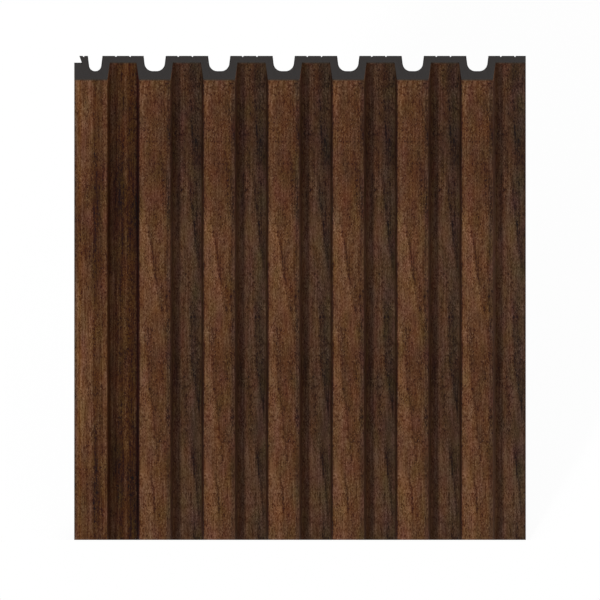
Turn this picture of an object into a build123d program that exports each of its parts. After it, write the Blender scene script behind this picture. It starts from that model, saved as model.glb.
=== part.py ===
from build123d import *
from math import radians, tan
import os

os.makedirs("parts", exist_ok=True)

# A short length of slatted wall panel: an extruded core under a printed film.
# X runs across the slats, Y from the room to the wall, and Z along the slats.
# The origin is in the middle of the gluing plane, which is Y = 0.

# Whole panel, in mm
length = 300.0               # along the slats, cut square at both ends
thickness = 14.5             # gluing plane to slat faces
web = 4.0                    # wall behind a groove, and the tongue
film = 0.25                  # printed film over the side that faces the room

# Slats and grooves
slat_count = 7
pitch = 40.0                 # one slat and one groove
slat_face = 19.6
first_slat_face = 20.4       # the slat along the left edge is a little wider
first_groove_floor = 16.55
side_draft = 8.0             # degrees, on every slat side next to a groove
outer_side_lean = 0.2        # the left edge leans in by this much at its face
slat_edge_radius = 0.45
groove_corner_radius = 0.4
tongue_width = 18.8          # bare strip right of the last slat

# Hollow channel behind each slat, open to the wall
front_wall = 5.05            # left between a channel and the slat face
channel_taper = 7.0          # degrees
channel_mouth = 13.7
channel_radius = 5.1
first_channel_mouth = 9.0
first_channel_radius = 3.6

# Lap rebate along the left edge, over the next panel's tongue
lap_clearance = 0.2          # in front of that tongue
lap_reach = 3.2              # from the left edge, at the gluing plane
lap_undercut = 19.0          # degrees
lap_land = 5.3               # land between the rebate and the first channel

# Glue notches in the lands of the back
notch_width = 1.3
notch_depth = 0.75
notch_spacing = 8.8          # between the two notches of a pair
notch_shift = 1.0            # pair to the left of the middle of its land

# Worked out from the sizes above; U is measured from the left edge
groove_depth = thickness - web
side_run = groove_depth * tan(radians(side_draft))
slat_base = slat_face + 2 * side_run
first_slat_right = outer_side_lean + first_slat_face
second_slat = first_slat_right + side_run + first_groove_floor + slat_base / 2
slat_middles = [second_slat + pitch * index for index in range(slat_count - 1)]
width = slat_middles[-1] + slat_base / 2 + tongue_width
channel_depth = thickness - front_wall
lap_depth = web + lap_clearance
lap_undercut_run = lap_depth * tan(radians(lap_undercut))
first_channel_left = lap_reach + lap_land
first_channel_middle = first_channel_left + first_channel_mouth / 2
spare = 3.0                  # how far cutting shapes run past the profile


def polygon(points):
    return make_face(Polyline(*points, close=True))


def corners_at(profile, height):
    return profile.vertices().filter_by_position(Axis.Y, height - 0.01, height + 0.01)


# Everything behind the surface that faces the room, running past the wall plane and the tongue
def room_side():
    points = [(0, spare), (0, -lap_depth), (outer_side_lean, -thickness)]
    points += [(first_slat_right, -thickness), (first_slat_right + side_run, -web)]
    for middle in slat_middles:
        points += [(middle - slat_base / 2, -web), (middle - slat_face / 2, -thickness)]
        points += [(middle + slat_face / 2, -thickness), (middle + slat_base / 2, -web)]
    points += [(width + spare, -web), (width + spare, spare)]
    profile = polygon(points)
    profile = fillet(corners_at(profile, -thickness), slat_edge_radius)
    groove_corners = [v for v in corners_at(profile, -web) if v.X < width]
    return fillet(groove_corners, groove_corner_radius)


# The rectangle that the finished profile fits in
def envelope():
    return Pos(width / 2, -thickness / 2) * Rectangle(width, thickness)


# A channel tapers from its mouth in the gluing plane to a rounded end behind the slat face
def channel(middle, mouth, radius):
    taper = tan(radians(channel_taper))
    half_mouth = mouth / 2 + spare * taper
    half_end = mouth / 2 - channel_depth * taper
    points = [(middle - half_mouth, spare), (middle - half_end, -channel_depth)]
    points += [(middle + half_end, -channel_depth), (middle + half_mouth, spare)]
    profile = polygon(points)
    return fillet(corners_at(profile, -channel_depth), radius)


def notch(middle):
    half_width = notch_width / 2
    points = [(middle - half_width, 0), (middle, -notch_depth), (middle + half_width, 0)]
    points += [(middle + half_width, spare), (middle - half_width, spare)]
    return polygon(points)


# The rebate is undercut, so the land beside it hooks over the tongue's edge
def lap_rebate():
    points = [(-spare, spare), (lap_reach, spare), (lap_reach, 0)]
    points += [(lap_reach + lap_undercut_run, -lap_depth), (-spare, -lap_depth)]
    return polygon(points)


def channels():
    first = channel(first_channel_middle, first_channel_mouth, first_channel_radius)
    others = [channel(middle, channel_mouth, channel_radius) for middle in slat_middles]
    return [first] + others


# One notch in the narrow land, a pair in the first full land, and a shifted pair in each later one
def notches():
    first_land_left = first_channel_left + first_channel_mouth
    first_land_right = slat_middles[0] - channel_mouth / 2
    pair_middles = [(first_land_left + first_land_right) / 2]
    pair_middles += [middle + pitch / 2 - notch_shift for middle in slat_middles]
    made = [notch(lap_reach + lap_land / 2)]
    for middle in pair_middles:
        made += [notch(middle - notch_spacing / 2), notch(middle + notch_spacing / 2)]
    return made


def extruded(profile):
    return extrude(Pos(-width / 2, 0) * profile, length / 2, both=True)


outer = room_side()
under_film = offset(outer, amount=-film, kind=Kind.INTERSECTION)


# The foamed core ends one film thickness behind the visible surface
def profile_core():
    return extruded((under_film & envelope()) - channels() - notches() - lap_rebate())


# The film follows slat faces, sides and groove floors, and ends flush at the tongue and the rebate
def decor_film():
    return extruded((outer - under_film) & envelope()) - extruded(lap_rebate())


for name, shape in {"profile_core": profile_core(), "decor_film": decor_film()}.items():
    shape.label = name
    export_step(shape, f"parts/{name}.step")
    print(name, len(shape.solids()), "solid", round(shape.volume, 1), "mm3")
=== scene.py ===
import bpy
from math import radians, tan
from mathutils import Matrix, Vector


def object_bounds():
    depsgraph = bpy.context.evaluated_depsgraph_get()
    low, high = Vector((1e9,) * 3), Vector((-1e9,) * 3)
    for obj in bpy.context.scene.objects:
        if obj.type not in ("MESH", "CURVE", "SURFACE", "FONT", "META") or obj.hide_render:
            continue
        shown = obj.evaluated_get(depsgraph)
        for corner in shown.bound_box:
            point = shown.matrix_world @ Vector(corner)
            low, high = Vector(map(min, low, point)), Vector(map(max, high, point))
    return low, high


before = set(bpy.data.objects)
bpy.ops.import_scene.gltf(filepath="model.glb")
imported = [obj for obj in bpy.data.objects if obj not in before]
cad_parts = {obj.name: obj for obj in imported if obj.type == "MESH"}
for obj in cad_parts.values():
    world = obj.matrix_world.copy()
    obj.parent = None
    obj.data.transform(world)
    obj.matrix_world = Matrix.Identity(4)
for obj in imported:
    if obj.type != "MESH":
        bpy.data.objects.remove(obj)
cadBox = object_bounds()
scene = bpy.context.scene
mm = 0.001  # the scene is in metres, the settings below are in millimetres
fullLevel = 255.0  # brightest step of a screen colour
print("loaded", ", ".join(sorted(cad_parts)))


# Node helpers: each takes a node tree and gives back an output socket

def feed(tree, socket, value):
    if isinstance(value, bpy.types.NodeSocket):
        tree.links.new(value, socket)
    else:
        socket.default_value = value


def calc(tree, operation, *values):
    node = tree.nodes.new("ShaderNodeMath")
    node.operation = operation
    for socket, value in zip(node.inputs, values):
        feed(tree, socket, value)
    return node.outputs[0]


def times(tree, first, second):
    return calc(tree, "MULTIPLY", first, second)


def addUp(tree, values):
    total = values[0]
    for value in values[1:]:
        total = calc(tree, "ADD", total, value)
    return total


def remap(tree, value, fromLow, fromHigh, toLow, toHigh, smooth=False):
    node = tree.nodes.new("ShaderNodeMapRange")
    node.interpolation_type = "SMOOTHSTEP" if smooth else "LINEAR"
    for socket, item in zip(node.inputs, (value, fromLow, fromHigh, toLow, toHigh)):
        feed(tree, socket, item)
    return node.outputs[0]


# the off value where the share is 0, and the on value where it is 1
def choose(tree, share, off, on):
    return remap(tree, share, 0.0, 1.0, off, on)


def rise(tree, value, low, high):
    return remap(tree, value, low, high, 0.0, 1.0, True)


def fall(tree, value, low, high):
    return remap(tree, value, low, high, 1.0, 0.0, True)


def combine(tree, x, y, z):
    node = tree.nodes.new("ShaderNodeCombineXYZ")
    for socket, value in zip(node.inputs, (x, y, z)):
        feed(tree, socket, value)
    return node.outputs[0]


def vectorCalc(tree, operation, first, second):
    node = tree.nodes.new("ShaderNodeVectorMath")
    node.operation = operation
    feed(tree, node.inputs[0], first)
    feed(tree, node.inputs[1], second)
    return node.outputs[0]


def blendColours(tree, factor, first, second):
    node = tree.nodes.new("ShaderNodeMix")
    node.data_type = "RGBA"
    feed(tree, node.inputs["Factor"], factor)
    feed(tree, node.inputs[6], first)
    feed(tree, node.inputs[7], second)
    return node.outputs[2]


# a colour in screen levels, as the nodes take it
def screenColour(levels):
    return [level / fullLevel for level in levels] + [1.0]


# soft noise about zero, with its cells across and along in mm
def grainNoise(tree, across, along, look):
    cellAcross, cellAlong = look["cell"]
    place = combine(tree, calc(tree, "DIVIDE", across, cellAcross), look["seed"],
                    calc(tree, "DIVIDE", along, cellAlong))
    node = tree.nodes.new("ShaderNodeTexNoise")
    tree.links.new(place, node.inputs["Vector"])
    node.inputs["Scale"].default_value = 1.0
    node.inputs["Detail"].default_value = look["detail"]
    return calc(tree, "SUBTRACT", node.outputs["Fac"], 0.5)


def strongNoise(tree, across, along, look):
    return times(tree, grainNoise(tree, across, along, look), look["strength"])


fleckShape = {"core": 0.1, "rim": 0.65}  # where a fleck begins to fade and where it ends, in shares of a cell


# lens-shaped flecks about zero, lighter and darker ones, one to a cell
def flecks(tree, across, along, look):
    cellAcross, cellAlong = look["cell"]
    node = tree.nodes.new("ShaderNodeTexVoronoi")
    node.voronoi_dimensions = "2D"
    across = calc(tree, "ADD", calc(tree, "DIVIDE", across, cellAcross), look["seed"])
    along = calc(tree, "DIVIDE", along, cellAlong)
    tree.links.new(combine(tree, across, along, 0.0), node.inputs["Vector"])
    node.inputs["Scale"].default_value = 1.0
    split = tree.nodes.new("ShaderNodeSeparateXYZ")
    tree.links.new(node.outputs["Color"], split.inputs[0])
    body = fall(tree, node.outputs["Distance"], fleckShape["core"], fleckShape["rim"])
    return times(tree, calc(tree, "SUBTRACT", split.outputs[0], 0.5), body)


# stops are (place, colour) with places from low to high
def ramp(tree, value, low, high, stops, interpolation):
    node = tree.nodes.new("ShaderNodeValToRGB")
    node.color_ramp.interpolation = interpolation
    elements = node.color_ramp.elements
    while len(elements) < len(stops):
        elements.new(1.0)
    for element, (place, colour) in zip(elements, stops):
        element.position = (place - low) / (high - low)
        element.color = colour
    feed(tree, node.inputs[0], remap(tree, value, low, high, 0.0, 1.0))
    return node.outputs[0]


screenCurve = {"darkest": 0.01, "offset": 0.055, "power": 2.4}  # how a screen shows a linear colour


# a colour as read from a screen, 0 to 1, to the linear colour that a shader takes
def screenToLinear(tree, colour):
    offset = screenCurve["offset"]
    lifted = vectorCalc(tree, "MAXIMUM", colour, (screenCurve["darkest"],) * 3)
    lifted = vectorCalc(tree, "ADD", lifted, (offset,) * 3)
    node = tree.nodes.new("ShaderNodeGamma")
    tree.links.new(vectorCalc(tree, "DIVIDE", lifted, (1.0 + offset,) * 3), node.inputs["Color"])
    node.inputs["Gamma"].default_value = screenCurve["power"]
    return node.outputs[0]


def placeInMm(tree):
    coords = tree.nodes.new("ShaderNodeTexCoord")
    split = tree.nodes.new("ShaderNodeSeparateXYZ")
    tree.links.new(coords.outputs["Object"], split.inputs[0])
    return [calc(tree, "DIVIDE", output, mm) for output in split.outputs]


# 1 on the sawn ends, which face along the slats, and 0 on every side
def sawnEnd(tree):
    geometry = tree.nodes.new("ShaderNodeNewGeometry")
    split = tree.nodes.new("ShaderNodeSeparateXYZ")
    tree.links.new(geometry.outputs["True Normal"], split.inputs[0])
    return calc(tree, "GREATER_THAN", calc(tree, "ABSOLUTE", split.outputs[2]), 0.5)


def newMaterial(name):
    material = bpy.data.materials.new(name)
    material.use_nodes = True
    material.node_tree.nodes.clear()
    return material, material.node_tree


def finishSurface(tree, colour, height, look):
    shader = tree.nodes.new("ShaderNodeBsdfPrincipled")
    bump = tree.nodes.new("ShaderNodeBump")
    output = tree.nodes.new("ShaderNodeOutputMaterial")
    feed(tree, bump.inputs["Height"], height)
    bump.inputs["Strength"].default_value = look["bump"]
    bump.inputs["Distance"].default_value = look["bumpDepth"] * mm
    feed(tree, shader.inputs["Base Color"], screenToLinear(tree, colour))
    shader.inputs["Roughness"].default_value = look["roughness"]
    shader.inputs["Specular IOR Level"].default_value = look["specular"]
    tree.links.new(bump.outputs[0], shader.inputs["Normal"])
    tree.links.new(shader.outputs[0], output.inputs[0])


# Walnut print of the film. It repeats with every slat, apart from the slat and groove at the left edge

# inks of the print, as a screen shows them, 0 to 255
walnut = {
    # the first two inks are painted shade, laid on the slats' side walls where the grooves shade them
    "blackWallShade": (33, 4, 0),
    "wallShade": (45, 21, 6),
    "night": (57, 29, 4),
    "seam": (63, 34, 8),
    "shade": (64, 39, 17),
    "deep": (67, 47, 32),
    "dark": (70, 45, 28),
    "umber": (72, 43, 20),
    "mid": (76, 50, 32),
    "rust": (79, 44, 20),
    "dull": (82, 52, 29),
    "body": (87, 55, 32),
    "dusty": (90, 60, 43),
    "warm": (92, 59, 36),
    "ochre": (93, 57, 25),
    "light": (98, 65, 41),
}


# a dark line from start to end, both (across, along) in mm; left and right say how much lighter its sides are
def streak(start, end, width, dark, bow=0.0, left=0.0, right=0.0):
    return {"start": start, "end": end, "bow": bow, "width": width, "dark": dark,
            "left": left, "right": right}


# cells and places are in mm, and tones and strengths in screen levels
film = {
    "pitch": 40.0,
    "secondSlat": 40.1,      # left edge of the panel to the face of the second slat
    "faceEnd": 20.0,         # across one pitch, the face ends and the groove begins
    "halfLength": 150.0,     # the tones along the print reach this far from its middle
    "toneSpan": 20.0,        # the most that they can lighten or darken
    "edgeShift": 200.0,      # the left edge takes its grain from this far to the side
    "roughness": 0.6,
    "specular": 0.08,
    "bump": 0.5,
    "bumpDepth": 0.002,      # for each level of tone
    "pores": {"cell": (0.55, 1.3), "seed": 0.0, "strength": 96.0},
    "lightPores": 0.65,      # the light ones have this share of the dark ones' strength
    "dashes": {"cell": (0.6, 3.4), "seed": 23.0, "strength": 60.0},  # longer dark pores
    "thick": {"cell": (7.0, 20.0), "detail": 1.0, "seed": 53.0, "strength": 1.6},  # thicker and thinner pores
    "fibres": {"cell": (0.9, 26.0), "detail": 2.0, "seed": 9.0, "strength": 60.0},
    "clouds": {"cell": (4.5, 18.0), "detail": 2.0, "seed": 17.0, "strength": 30.0},
    "broken": {"cell": (1.2, 4.5), "detail": 1.0, "seed": 61.0, "strength": 2.0},  # streaks are uneven
    "sway": {"cell": (1.0, 24.0), "detail": 0.0, "seed": 4.0, "strength": 1.8},    # and not quite straight
    "grooveDepth": 9.0,      # what is nearer to the wall than this counts as groove
    "groovePores": 0.9,      # the grooves show a little less grain than the slat faces
    "warmth": (1.14, 1.0, 0.84),  # lighter stretches are redder: what red, green and blue take of them
    "redTint": {"cell": (6.0, 14.0), "detail": 0.0, "seed": 31.0, "strength": 16.0},
    "redTintShares": (0.6, -0.4),  # what red and green take of it
    "blueTint": {"cell": (6.0, 14.0), "detail": 0.0, "seed": 47.0, "strength": 16.0},
    "cut": (49, 46, 44),     # sawn edge of the film
    "burr": 1.2,             # the saw dulls the print this far in from the cut
    "burrShare": 0.8,
    # inks across one pitch: face, side, groove floor, side. The groove floor's inks are darker than the
    # face's, partly the print's own tone and partly painted shade of the groove; the slat's right side wall
    # has a lighter ink, painted light against its shade, and its left side wall the darkest ink, painted
    # shade
    "across": [
        (0.0, "wallShade"), (0.9, "light"), (2.6, "light"), (4.5, "warm"), (8.5, "body"), (12.5, "body"),
        (16.5, "dull"), (17.8, "dark"), (19.3, "dark"), (20.1, "dusty"), (21.9, "body"), (24.0, "dusty"),
        (28.0, "mid"), (30.2, "mid"), (35.0, "deep"), (38.8, "deep"), (39.6, "wallShade"),
    ],
    # lighter and darker stretches along the length
    "faceAlong": [(-140, 2), (-108, 6), (-85, 1), (-55, -2), (-22, -3), (10, 3), (30, 2), (52, 5),
                  (72, -3), (95, -5), (122, -4), (143, 0)],
    "floorAlong": [(-140, 1), (-120, 6), (-90, 0), (-50, -3), (-25, -1), (0, 2), (35, 5), (65, 1),
                   (85, -6), (110, -8), (130, -2), (148, -6)],
    "faceStreaks": [
        streak((15.3, 150), (15.4, 132), width=0.5, dark=11),
        streak((5.4, 138), (7.2, 122), width=0.8, dark=7, bow=0.2),
        streak((13.6, 108), (14.9, 80), width=1.6, dark=6),
        streak((5.2, 62), (9.5, 31), width=0.9, dark=15, bow=0.4, left=13, right=-3),
        streak((9.0, 38), (14.4, 3), width=0.9, dark=14, bow=-0.5, left=12, right=-3),
        streak((15.8, 24), (17.4, 4), width=0.7, dark=10),
        streak((14.4, 10), (16.2, -12), width=0.7, dark=11, left=4),
        streak((5.2, -1), (6.8, -28), width=1.1, dark=9),
        streak((5.0, -20), (11.8, -84), width=0.9, dark=5, bow=-0.7, left=12, right=-7),
        streak((6.4, -90), (9.8, -121), width=0.9, dark=15, bow=0.3, left=10),
        streak((9.4, -112), (10.4, -148), width=0.8, dark=12, left=12),
    ],
    "floorStreaks": [
        streak((31.2, 152), (35.6, 80), width=0.8, dark=12, bow=-0.9, left=1, right=-6),
        streak((31.0, 82), (38.3, 16), width=0.8, dark=14, bow=-0.7, left=9, right=-11),
        streak((31.4, 5), (38.3, -76), width=0.8, dark=14, bow=-1.5, left=8, right=-10),
        streak((31.8, -86), (37.8, -136), width=0.8, dark=16, bow=0.2, left=9, right=-8),
        streak((24.4, 84), (23.6, 38), width=1.1, dark=13, bow=0.3),
        streak((23.2, -8), (22.9, -56), width=1.2, dark=15, bow=0.3),
    ],
}

edgeFilm = {
    "end": 40.2,             # where the print of the left edge gives way to the repeat
    "poreStrength": 88.0,
    "fibreStrength": 84.0,
    # inks across the left edge's slat and groove; the groove's inks are darker, partly the print's own tone
    # and partly painted shade of the groove
    "across": [
        (0.0, "deep"), (1.8, "light"), (3.2, "ochre"), (4.8, "light"), (7.6, "body"), (9.8, "warm"),
        (11.2, "dull"), (12.9, "seam"), (14.6, "umber"), (17.0, "umber"), (18.6, "warm"), (20.2, "dull"),
        (20.8, "rust"), (22.2, "rust"), (23.6, "light"), (26.0, "rust"), (27.6, "shade"), (30.0, "night"),
        # the last two stops on the next line lay painted shade on the right side wall of the first groove
        (31.9, "dull"), (33.6, "seam"), (35.8, "night"), (37.8, "shade"), (38.4, "wallShade"), (39.2, "blackWallShade"),
    ],
    "along": [(-150, 0), (-130, -3), (-105, -9), (-85, -2), (-60, 5), (-20, 4), (5, 5), (25, -2),
              (45, -8), (62, -9), (80, -4), (105, 1), (130, 7), (150, 8)],
    # a streak with a dark below zero is a lighter one
    "streaks": [
        streak((12.0, 112), (15.6, 60), width=1.6, dark=12, bow=0.6, right=6),
        streak((13.4, 62), (15.0, 20), width=1.2, dark=9, bow=-0.8, right=4),
        streak((12.6, -60), (13.2, -120), width=1.6, dark=9, bow=0.6, right=5),
        streak((25.0, 92), (26.6, 50), width=2.2, dark=12, bow=0.4),
        streak((24.6, -85), (26.2, -112), width=2.2, dark=10, bow=0.4),
        streak((18.2, 154), (17.8, 132), width=1.8, dark=14),
        streak((18.4, 106), (17.8, 80), width=1.8, dark=14),
        streak((18.2, 20), (17.8, -6), width=1.8, dark=14),
        streak((31.8, 86), (32.2, 58), width=1.2, dark=-13, bow=0.2),
        streak((31.8, -26), (32.0, -52), width=1.2, dark=12, bow=0.2),
        streak((32.2, -54), (31.8, -94), width=1.4, dark=-14, bow=0.3),
        streak((10.4, 8), (10.2, -30), width=1.8, dark=-9, bow=0.2),
        streak((10.2, -54), (10.4, -82), width=1.8, dark=-9, bow=0.2),
        streak((18.1, 70), (17.9, 44), width=1.6, dark=-9),
        streak((18.1, -6), (17.9, -40), width=1.6, dark=-9),
        streak((18.0, -82), (17.9, -118), width=1.6, dark=-9),
        streak((24.6, 46), (24.4, 8), width=2.0, dark=-8),
        streak((24.5, -102), (24.4, -144), width=2.0, dark=-8),
        streak((36.0, -24), (36.0, -56), width=2.0, dark=9),
        streak((4.2, 76), (4.4, 38), width=2.6, dark=7, bow=0.2),
        streak((4.0, -2), (4.2, -108), width=2.6, dark=-6, bow=0.4),
        streak((18.0, -40), (18.0, -84), width=1.6, dark=7),
    ],
}

# how a streak fades at its ends, and where the tones beside it rise and fall, in mm from its line
streakShape = {
    "fade": 0.15,            # share of its length
    "leftRise": (-8.0, -1.0),
    "leftFall": (-0.6, 0.4),
    "rightRise": (-0.4, 0.6),
    "rightFall": (1.0, 6.0),
}


# one streak as a node group, so that each use only sets its numbers
def streakGroup():
    group = bpy.data.node_groups.new("printStreak", "ShaderNodeTree")
    names = ["across", "along", "startAcross", "startAlong", "endAcross", "endAlong",
             "bow", "width", "dark", "left", "right", "broken"]
    for name in names:
        group.interface.new_socket(name=name, in_out="INPUT", socket_type="NodeSocketFloat")
    group.interface.new_socket(name="tone", in_out="OUTPUT", socket_type="NodeSocketFloat")
    inside = group.nodes.new("NodeGroupInput")
    take = {name: inside.outputs[index] for index, name in enumerate(names)}
    fade = streakShape["fade"]
    share = remap(group, take["along"], take["startAlong"], take["endAlong"], 0.0, 1.0)
    ends = times(group, rise(group, share, 0.0, fade), fall(group, share, 1.0 - fade, 1.0))
    middle = remap(group, share, 0.0, 1.0, take["startAcross"], take["endAcross"])
    arch = times(group, times(group, share, 4.0), calc(group, "SUBTRACT", 1.0, share))  # 1 at its highest
    middle = calc(group, "ADD", middle, times(group, arch, take["bow"]))
    off = calc(group, "SUBTRACT", take["across"], middle)
    narrow = calc(group, "POWER", calc(group, "DIVIDE", off, take["width"]), 2.0)
    line = times(group, calc(group, "EXPONENT", times(group, narrow, -1.0)),
                 times(group, take["broken"], take["dark"]))
    leftSide = times(group, rise(group, off, *streakShape["leftRise"]),
                     fall(group, off, *streakShape["leftFall"]))
    rightSide = times(group, fall(group, off, *streakShape["rightFall"]),
                      rise(group, off, *streakShape["rightRise"]))
    sides = calc(group, "ADD", times(group, leftSide, take["left"]), times(group, rightSide, take["right"]))
    tone = times(group, calc(group, "SUBTRACT", sides, line), ends)
    output = group.nodes.new("NodeGroupOutput")
    group.links.new(tone, output.inputs[0])
    return group


def streakTones(tree, group, across, along, streaks, broken):
    tones = []
    for one in streaks:
        node = tree.nodes.new("ShaderNodeGroup")
        node.node_tree = group
        values = [across, along, *one["start"], *one["end"]]
        values += [one[name] for name in ("bow", "width", "dark", "left", "right")] + [broken]
        for socket, value in zip(node.inputs, values):
            feed(tree, socket, value)
        tones.append(node.outputs[0])
    return addUp(tree, tones)


# where a point lies on the print, in mm; edge is 1 on the print of the left edge, and 0 on the repeat
def printPlaces(tree):
    x, y, z = placeInMm(tree)
    fromEdge = calc(tree, "SUBTRACT", x, cadBox[0].x / mm)
    edge = calc(tree, "LESS_THAN", fromEdge, edgeFilm["end"])
    fromSecond = calc(tree, "SUBTRACT", fromEdge, film["secondSlat"])
    repeat = calc(tree, "FLOORED_MODULO", fromSecond, film["pitch"])
    # the grain runs round onto the slat sides, and the left edge has another stretch of it
    grain = addUp(tree, [repeat, y, times(tree, edge, film["edgeShift"])])
    return {"fromEdge": fromEdge, "edge": edge, "repeat": repeat, "grain": grain, "y": y, "z": z}


def inkBands(tree, across, stops):
    inks = [(place, screenColour(walnut[name])) for place, name in stops]
    return ramp(tree, across, 0.0, film["pitch"], inks, "LINEAR")


def inkColour(tree, at):
    return blendColours(tree, at["edge"], inkBands(tree, at["repeat"], film["across"]),
                        inkBands(tree, at["fromEdge"], edgeFilm["across"]))


def toneBands(tree, along, stops):
    half = film["halfLength"]
    span = film["toneSpan"]
    greys = [(place, [0.5 + tone / (2 * span)] * 3 + [1.0]) for place, tone in stops]
    return remap(tree, ramp(tree, along, -half, half, greys, "EASE"), 0.0, 1.0, -span, span)


# lighter and darker stretches, streaks and clouds
def broadTone(tree, at):
    z = at["z"]
    group = streakGroup()
    onFace = calc(tree, "LESS_THAN", at["repeat"], film["faceEnd"])
    broken = calc(tree, "ADD", strongNoise(tree, at["grain"], z, film["broken"]), 1.0)
    broken = calc(tree, "MAXIMUM", broken, 0.0)
    swayed = calc(tree, "ADD", at["repeat"], strongNoise(tree, 0.0, z, film["sway"]))
    bands = choose(tree, onFace, toneBands(tree, z, film["floorAlong"]),
                   toneBands(tree, z, film["faceAlong"]))
    bands = choose(tree, at["edge"], bands, toneBands(tree, z, edgeFilm["along"]))
    streaks = choose(tree, onFace, streakTones(tree, group, swayed, z, film["floorStreaks"], broken),
                     streakTones(tree, group, swayed, z, film["faceStreaks"], broken))
    streaks = choose(tree, at["edge"], streaks,
                     streakTones(tree, group, at["fromEdge"], z, edgeFilm["streaks"], broken))
    return addUp(tree, [bands, streaks, strongNoise(tree, at["grain"], z, film["clouds"])])


# pores, dashes and fibres
def fineTone(tree, at):
    grain = at["grain"]
    z = at["z"]
    pores = flecks(tree, grain, z, film["pores"])
    pores = calc(tree, "MINIMUM", pores, times(tree, pores, film["lightPores"]))
    dashes = calc(tree, "MAXIMUM", flecks(tree, grain, z, film["dashes"]), 0.0)
    thick = calc(tree, "ADD", strongNoise(tree, grain, z, film["thick"]), 1.0)
    raised = calc(tree, "LESS_THAN", at["y"], -film["grooveDepth"])
    poreStrength = times(tree, choose(tree, at["edge"], film["pores"]["strength"], edgeFilm["poreStrength"]),
                         choose(tree, raised, film["groovePores"], 1.0))
    fibreStrength = choose(tree, at["edge"], film["fibres"]["strength"], edgeFilm["fibreStrength"])
    speckled = calc(tree, "SUBTRACT", times(tree, pores, poreStrength),
                    times(tree, dashes, film["dashes"]["strength"]))
    fibres = times(tree, grainNoise(tree, grain, z, film["fibres"]), fibreStrength)
    return calc(tree, "ADD", times(tree, speckled, thick), fibres)


# the tints don't repeat with the slats
def printColour(tree, at, fine):
    broad = broadTone(tree, at)
    place = calc(tree, "ADD", at["fromEdge"], at["y"])
    red = strongNoise(tree, place, at["z"], film["redTint"])
    blue = strongNoise(tree, place, at["z"], film["blueTint"])
    tints = [times(tree, red, share) for share in film["redTintShares"]] + [blue]
    channels = [addUp(tree, [fine, times(tree, broad, share), tint])
                for share, tint in zip(film["warmth"], tints)]
    tone = vectorCalc(tree, "DIVIDE", combine(tree, *channels), (fullLevel,) * 3)
    return vectorCalc(tree, "ADD", inkColour(tree, at), tone)


def walnutFilm():
    material, tree = newMaterial("walnutFilm")
    at = printPlaces(tree)
    fine = fineTone(tree, at)
    end = cadBox[1].z / mm
    burr = remap(tree, calc(tree, "ABSOLUTE", at["z"]), end - film["burr"], end, 0.0, film["burrShare"], True)
    cut = calc(tree, "MAXIMUM", sawnEnd(tree), burr)
    colour = blendColours(tree, cut, printColour(tree, at, fine), screenColour(film["cut"]))
    finishSurface(tree, colour, fine, film)
    print("walnut film made")
    return material


# Dark foamed core: sawn ends with fine cells and a dense skin, and a smooth extruded back

core = {
    "end": (47, 44, 43),     # sawn end, as seen on screen
    "skin": (52, 52, 51),    # extruded surface
    "skinDark": 14.0,        # how much darker the skin is where the saw cut it
    "skinDepth": 0.65,
    "skinSoft": 0.4,         # share of that depth over which it blends, each way
    "mouth": 13.7,           # channels, as in the section
    "radius": 5.1,
    "depth": 9.45,
    "taper": 7.0,
    "channelMiddle": 49.9,   # left edge to the middle of the second slat's channel
    "edgeMouth": 9.0,
    "edgeRadius": 3.6,
    "edgeMiddle": 13.0,
    "outOfReach": 50.0,      # puts the repeated channels away from the first slat
    "lapReach": 3.2,
    "lapDepth": 4.2,
    "lapUndercut": 19.0,
    "cells": {"cell": (0.5, 0.5), "detail": 3.0, "seed": 2.0, "strength": 22.0},
    "sawMarks": {"cell": (0.8, 14.0), "detail": 1.0, "seed": 5.0, "strength": 8.0},
    "sawSlant": 0.3,
    "dieLines": {"cell": (0.7, 90.0), "detail": 2.0, "seed": 7.0, "strength": 16.0},
    "roughness": 0.7,
    "specular": 0.1,
    "bump": 0.3,
    "bumpDepth": 0.06,
}


# distance from the wall of a channel, in mm, for a place in the section
def fromChannel(tree, off, depth, mouth, radius):
    half = calc(tree, "SUBTRACT", mouth / 2, times(tree, depth, tan(radians(core["taper"]))))
    sideways = calc(tree, "SUBTRACT", calc(tree, "ABSOLUTE", off), calc(tree, "SUBTRACT", half, radius))
    inwards = calc(tree, "SUBTRACT", depth, core["depth"] - radius)
    squares = [calc(tree, "POWER", calc(tree, "MAXIMUM", value, 0.0), 2.0) for value in (sideways, inwards)]
    return calc(tree, "SUBTRACT", calc(tree, "SQRT", addUp(tree, squares)), radius)


def fromNearestChannel(tree, fromEdge, depth):
    half = film["pitch"] / 2
    fromSecond = calc(tree, "SUBTRACT", fromEdge, core["channelMiddle"])
    wrapped = calc(tree, "WRAP", fromSecond, half, -half)
    atFirst = calc(tree, "LESS_THAN", fromEdge, half)
    repeat = calc(tree, "ADD", fromChannel(tree, wrapped, depth, core["mouth"], core["radius"]),
                  times(tree, atFirst, core["outOfReach"]))
    fromFirst = calc(tree, "SUBTRACT", fromEdge, core["edgeMiddle"])
    first = fromChannel(tree, fromFirst, depth, core["edgeMouth"], core["edgeRadius"])
    return calc(tree, "MINIMUM", repeat, first)


def fromRebate(tree, fromEdge, depth):
    side = calc(tree, "SUBTRACT", calc(tree, "SUBTRACT", fromEdge, core["lapReach"]),
                times(tree, depth, tan(radians(core["lapUndercut"]))))
    return calc(tree, "MAXIMUM", side, calc(tree, "SUBTRACT", depth, core["lapDepth"]))


# the saw cuts through the skin that lines the channels, the rebate and the back
def skinTone(tree, x, depth):
    fromEdge = calc(tree, "SUBTRACT", x, cadBox[0].x / mm)
    nearest = calc(tree, "MINIMUM", fromNearestChannel(tree, fromEdge, depth), depth)
    nearest = calc(tree, "MINIMUM", nearest, fromRebate(tree, fromEdge, depth))
    skin = core["skinDepth"]
    soft = skin * core["skinSoft"]
    return remap(tree, nearest, skin - soft, skin + soft, -core["skinDark"], 0.0, True)


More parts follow.
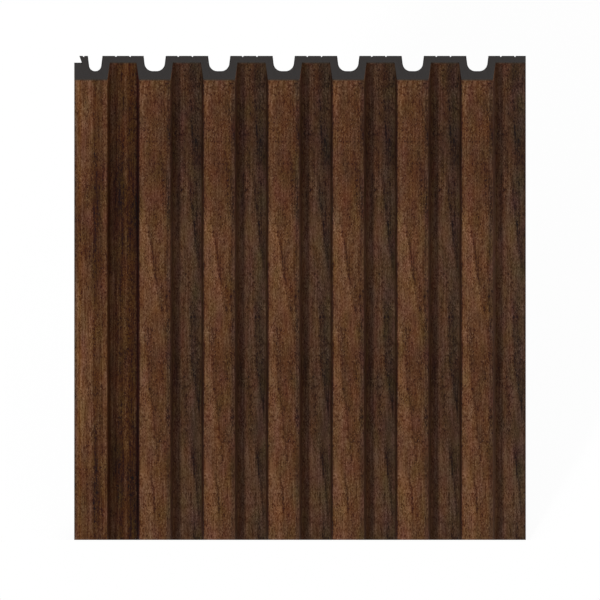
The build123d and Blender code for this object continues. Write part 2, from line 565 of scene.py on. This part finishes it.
def foamedCore():
    material, tree = newMaterial("foamedCore")
    x, y, z = placeInMm(tree)
    sawn = sawnEnd(tree)
    cells = grainNoise(tree, x, y, core["cells"])
    lines = grainNoise(tree, calc(tree, "ADD", x, y), z, core["dieLines"])
    slanted = calc(tree, "ADD", x, times(tree, y, core["sawSlant"]))
    endTone = addUp(tree, [times(tree, cells, core["cells"]["strength"]),
                           strongNoise(tree, slanted, y, core["sawMarks"]),
                           skinTone(tree, x, times(tree, y, -1.0))])
    sideTone = times(tree, lines, core["dieLines"]["strength"])
    tone = calc(tree, "DIVIDE", choose(tree, sawn, sideTone, endTone), fullLevel)
    base = blendColours(tree, sawn, screenColour(core["skin"]), screenColour(core["end"]))
    colour = vectorCalc(tree, "ADD", base, combine(tree, tone, tone, tone))
    finishSurface(tree, colour, choose(tree, sawn, lines, cells), core)
    print("foamed core made")
    return material


def dress(nodeName, material):
    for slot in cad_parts[nodeName].material_slots:
        slot.material = material


dress("decor_film", walnutFilm())
dress("profile_core", foamedCore())


# The view is an oblique picture: the front is square on, and depth is drawn straight up at its true length

view = {
    "pixel": 0.62,           # mm that one pixel covers, in a frame of this many pixels
    "framePixels": 600,
    "rise": -1.36,           # height of the frame's middle on the gluing plane, in mm
    "distance": 2000.0,
    "trimRow": 539.9,        # the picture is trimmed straight along this row of pixels
}


def obliqueMatrix(distance):
    back = Vector((0, -1, 1)).normalized()
    place = back * distance * mm + Vector((0, 0, view["rise"] * mm))
    matrix = Matrix.Identity(4)
    for column, direction in enumerate((Vector((1, 0, 0)), Vector((0, 0, 1)), back, place)):
        matrix.col[column][:3] = direction
    return matrix


def makeCamera():
    data = bpy.data.cameras.new("camera")
    data.type = "ORTHO"
    data.ortho_scale = view["pixel"] * view["framePixels"] * mm
    camera = bpy.data.objects.new("camera", data)
    rig = bpy.data.objects.new("cameraRig", None)
    for item in (camera, rig):
        scene.collection.objects.link(item)
    camera.parent = rig
    camera.matrix_parent_inverse = obliqueMatrix(view["distance"])
    scene.camera = camera
    print("camera made")


def flatPiece(name, corners, material):
    mesh = bpy.data.meshes.new(name)
    mesh.from_pydata(corners, [], [(0, 1, 2, 3)])
    mesh.materials.append(material)
    piece = bpy.data.objects.new(name, mesh)
    scene.collection.objects.link(piece)
    return piece


# Light: a low key rakes in from the left, the top lamp reaches only the sawn end and the back lamp only the
# wall side, and the surround is even

# side is in degrees to the left, and height in degrees above level
light = {
    "key": {"strength": 1.85, "side": 31.2, "height": 8.0},
    "top": {"strength": 1.2, "side": 0.0, "height": 90.0},
    "back": {"strength": 3.0, "side": 240.0, "height": 10.0},
    "spread": 8.0,           # degrees across each lamp
    "sky": 0.40,
}

floor = {
    "colour": 0.5,
    "glow": 0.8,             # share of plain white that the camera sees
    "half": 6.0,             # metres from the middle to each side
}


# 1 for rays that see the surround itself
def seenDirectly(tree):
    path = tree.nodes.new("ShaderNodeLightPath")
    either = calc(tree, "MAXIMUM", path.outputs["Is Camera Ray"], path.outputs["Is Glossy Ray"])
    return calc(tree, "MAXIMUM", either, path.outputs["Is Transmission Ray"])


def makeWorld():
    world = bpy.data.worlds.new("surround")
    world.use_nodes = True
    background = world.node_tree.nodes["Background"]
    background.inputs["Color"].default_value = (1, 1, 1, 1)
    strength = choose(world.node_tree, seenDirectly(world.node_tree), light["sky"], 1.0)
    feed(world.node_tree, background.inputs["Strength"], strength)
    scene.world = world


def makeLamp(name):
    look = light[name]
    data = bpy.data.lights.new(name, "SUN")
    data.energy = look["strength"]
    data.angle = radians(light["spread"])
    lamp = bpy.data.objects.new(name, data)
    lamp.rotation_euler = (radians(90 - look["height"]), 0, radians(-look["side"]))
    scene.collection.objects.link(lamp)


def makeFloor():
    material, tree = newMaterial("paleFloor")
    seen = seenDirectly(tree)
    grey = choose(tree, seen, floor["colour"], 1.0)
    diffuse = tree.nodes.new("ShaderNodeBsdfDiffuse")
    feed(tree, diffuse.inputs["Color"], combine(tree, grey, grey, grey))
    glow = tree.nodes.new("ShaderNodeEmission")
    mix = tree.nodes.new("ShaderNodeMixShader")
    output = tree.nodes.new("ShaderNodeOutputMaterial")
    feed(tree, mix.inputs[0], times(tree, seen, floor["glow"]))
    tree.links.new(diffuse.outputs[0], mix.inputs[1])
    tree.links.new(glow.outputs[0], mix.inputs[2])
    tree.links.new(mix.outputs[0], output.inputs[0])
    half = floor["half"]
    corners = ((-half, -half), (half, -half), (half, half), (-half, half))
    flatPiece("floor", [(x, y, cadBox[0].z) for x, y in corners], material)


# White cards just in front of the camera. One trims the lower end of the picture straight. The other clears
# the rebate, since the end section is drawn flat, with no undercut wall to be seen through it

cards = {
    "distance": 1900.0,
    "halfWidth": 300.0,
    "drop": 120.0,
    "rebateSpare": 1.0,      # how far the second card passes the rebate's mouth at its floor
}


def whiteMaterial():
    material, tree = newMaterial("whiteCard")
    glow = tree.nodes.new("ShaderNodeEmission")
    output = tree.nodes.new("ShaderNodeOutputMaterial")
    tree.links.new(glow.outputs[0], output.inputs[0])
    return material


# corners are (across, up) in the picture, in mm from its middle
def makeCard(name, corners, material):
    matrix = obliqueMatrix(cards["distance"])
    card = flatPiece(name, [matrix @ Vector((x * mm, up * mm, 0)) for x, up in corners], material)
    for kind in ("diffuse", "glossy", "transmission", "shadow", "volume_scatter"):
        setattr(card, "visible_" + kind, False)


def makeCards():
    material = whiteMaterial()
    half = cards["halfWidth"]
    top = (view["framePixels"] / 2 - view["trimRow"]) * view["pixel"]
    bottom = top - cards["drop"]
    makeCard("trimCard", ((-half, bottom), (half, bottom), (half, top), (-half, top)), material)
    mouth = cadBox[1].z / mm - view["rise"]
    lapFloor = mouth - core["lapDepth"]
    left = cadBox[0].x / mm + core["lapReach"]
    right = left + core["lapDepth"] * tan(radians(core["lapUndercut"]))
    corners = ((left, mouth), (left - cards["rebateSpare"], lapFloor), (left, lapFloor), (right, lapFloor))
    makeCard("rebateCard", corners, material)


makeCamera()
makeWorld()
for lampName in ("key", "top", "back"):
    makeLamp(lampName)
makeFloor()
makeCards()
print("light, floor and cards made")

scene.view_settings.view_transform = "Standard"
